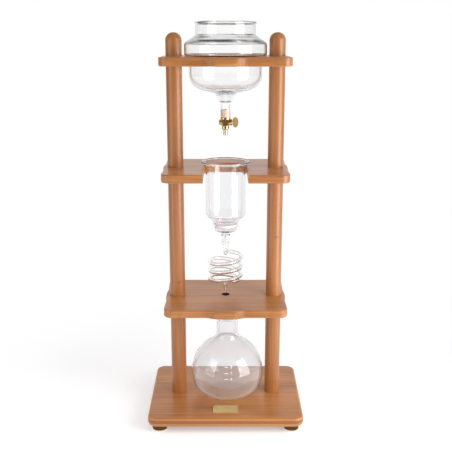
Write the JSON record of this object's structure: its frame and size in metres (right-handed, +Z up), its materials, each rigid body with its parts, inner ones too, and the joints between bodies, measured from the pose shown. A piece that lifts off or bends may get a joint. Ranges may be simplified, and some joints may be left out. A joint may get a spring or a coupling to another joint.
{
  "type": "cold drip coffee tower",
  "caption": "Free-standing wooden tower with a glass vessel and drip valve above a filter chamber, a glass cooling coil and a round flask; glassware lifts out, valve handle turns.",
  "frame": {"origin": "On the table under the middle of the tower: the axis that vessel, valve, chamber, coil and flask share, at the height of the feet's undersides.", "axes": "+Z is up, +X is to the right as seen from the front, +Y points to the rear, so the open notch and the name plate face -Y."},
  "size_m": [0.27, 0.21, 0.689],
  "materials": {
    "bamboo": "caramelised bamboo, reddish brown, semi-gloss lacquer, grain along boards and posts",
    "brass": "polished, warm gold",
    "steel": "zinc-plated fasteners",
    "rubber": "matt black",
    "silicone_beige": "matt beige silicone",
    "silicone_clear": "translucent silicone",
    "ceramic_white": "porous, matt white",
    "glass": "clear borosilicate, blown and lathe-worked"
  },
  "bodies": {
    "frame": {"base_board": "bamboo", "foot_front_left": "brass", "foot_front_right": "brass", "foot_rear_left": "brass", "foot_rear_right": "brass", "foot_washers": "rubber", "foot_screws": "steel", "name_plate": "brass", "lower_shelf": "bamboo", "middle_shelf": "bamboo", "top_shelf": "bamboo", "lower_post_left": "bamboo", "lower_post_right": "bamboo", "middle_post_left": "bamboo", "middle_post_right": "bamboo", "upper_post_left": "bamboo", "upper_post_right": "bamboo", "post_cap_left": "bamboo", "post_cap_right": "bamboo", "lower_inserts": "brass", "middle_inserts": "brass", "upper_inserts": "brass", "cap_inserts": "brass", "lower_studs": "steel", "middle_studs": "steel", "top_studs": "steel", "base_bolts": "steel", "base_washers": "steel"},
    "vessel": {"water_vessel": "glass", "valve_bung": "silicone_beige", "valve_body": "brass", "valve_spout": "brass"},
    "valve_cock": {"valve_plug": "brass", "valve_washer": "brass", "valve_nut": "brass", "valve_handle": "brass"},
    "chamber": {"brew_chamber": "glass"},
    "filter": {"filter_disc": "ceramic_white", "filter_gasket": "silicone_clear"},
    "coil": {"cooling_coil": "glass", "coil_sleeve": "silicone_clear"},
    "flask_body": {"flask": "glass"}
  },
  "joints": [
    {"name": "vessel_lift", "type": "slide", "parent": "frame", "child": "vessel", "axis": [0, 0, 1], "range_m": [0, 0.17]},
    {"name": "valve_turn", "type": "hinge", "parent": "vessel", "child": "valve_cock", "pos_m": [0, 0, 0.5255], "axis": [1, 0, 0], "range_deg": [0, 90]},
    {"name": "chamber_out", "type": "slide", "parent": "frame", "child": "chamber", "axis": [0, -1, 0], "range_m": [0, 0.15]},
    {"name": "filter_lift", "type": "slide", "parent": "chamber", "child": "filter", "axis": [0, 0, 1], "range_m": [0, 0.125]},
    {"name": "coil_pull", "type": "slide", "parent": "chamber", "child": "coil", "axis": [0, 0, -1], "range_m": [0, 0.0185]},
    {"name": "flask_out", "type": "slide", "parent": "frame", "child": "flask_body", "axis": [0, -0.9925, 0.1219], "range_m": [0, 0.2]}
  ]
}
